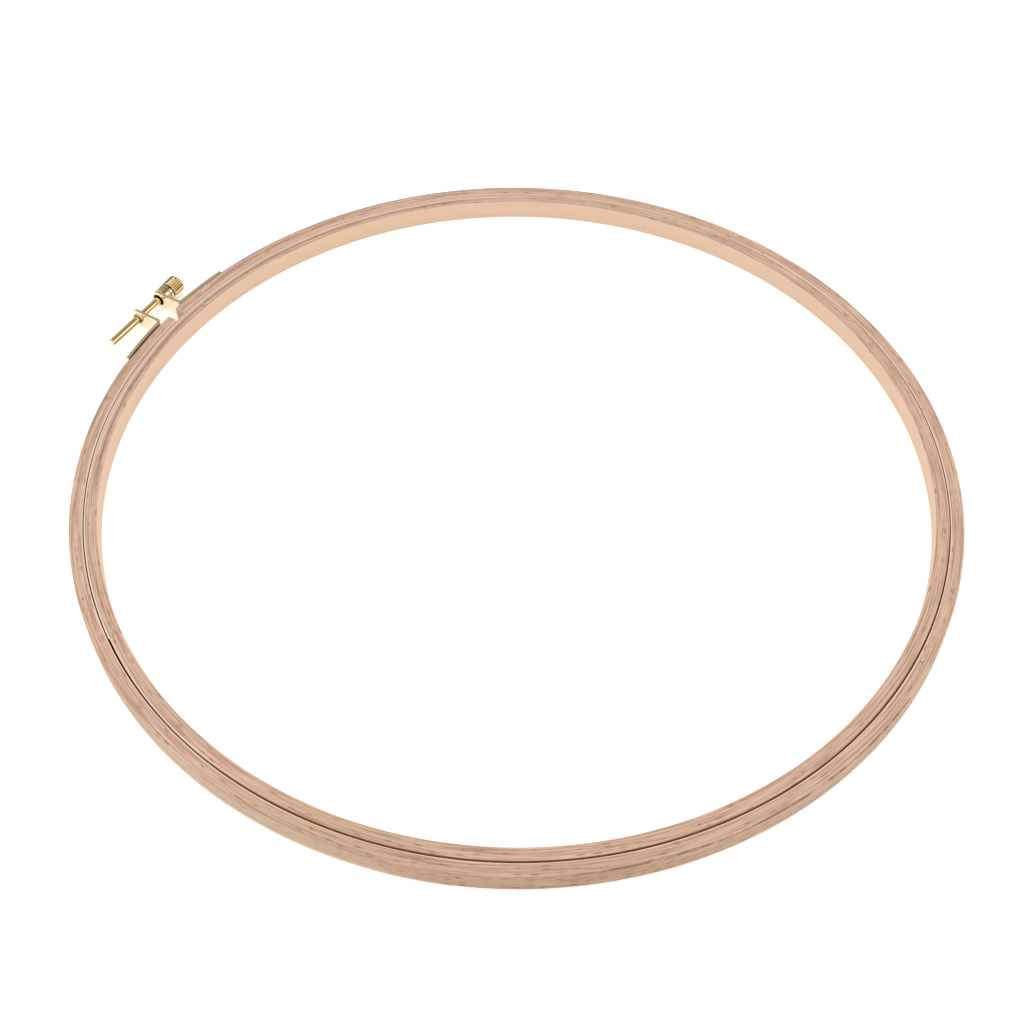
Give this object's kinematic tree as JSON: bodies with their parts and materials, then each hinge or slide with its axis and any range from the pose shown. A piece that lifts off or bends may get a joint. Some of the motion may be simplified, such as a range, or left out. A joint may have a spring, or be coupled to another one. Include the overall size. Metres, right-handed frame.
{
  "type": "embroidery hoop",
  "caption": "Round wooden embroidery hoop: a closed inner ring inside a split outer ring, which a brass thumb screw draws shut through bent sheet ears.",
  "frame": {"origin": "centre of both rings, halfway through their depth", "axes": "+Z along the rings' axis, +Y to the clamp, +X along the screw towards its head"},
  "size_m": [0.32, 0.3354, 0.008],
  "materials": {
    "inner_wood": "sanded beech, bare",
    "outer_wood": "sanded beech, bare",
    "sheet_brass": "rolled sheet, smooth",
    "turned_brass": "turned, polished",
    "rivet_brass": "domed, polished"
  },
  "bodies": {
    "outer_ring_fixed_half": {"outer_ring_right": "outer_wood", "clearance_bracket": "sheet_brass", "clearance_bracket_rivets": "rivet_brass"},
    "outer_ring_moving_half": {"outer_ring_left": "outer_wood", "tapped_bracket": "sheet_brass", "tapped_bracket_rivets": "rivet_brass"},
    "thumb_screw": {"thumb_screw": "turned_brass"},
    "spacer_collar": {"spacer_collar": "turned_brass"},
    "inner_ring": {"inner_ring": "inner_wood"}
  },
  "joints": [
    {"name": "screw_turn", "type": "hinge", "parent": "outer_ring_fixed_half", "child": "thumb_screw", "pos_m": [0, 0.1717, 0], "axis": [1, 0, 0], "range_deg": [0, 3602]},
    {"name": "ring_opening", "type": "hinge", "parent": "outer_ring_fixed_half", "child": "outer_ring_moving_half", "pos_m": [0, -0.16, 0], "axis": [0, 0, 1], "range_deg": [0, 0.864]},
    {"name": "collar_turn", "type": "hinge", "parent": "outer_ring_fixed_half", "child": "spacer_collar", "pos_m": [0.0083, 0.1717, 0], "axis": [1, 0, 0], "continuous": true},
    {"name": "inner_ring_lift", "type": "slide", "parent": "outer_ring_fixed_half", "child": "inner_ring", "axis": [0, 0, 1], "range_m": [0, 0.04]}
  ],
  "couplings": [
    {"joint": "screw_turn", "follows": "ring_opening", "ratio": 4168.2}
  ]
}
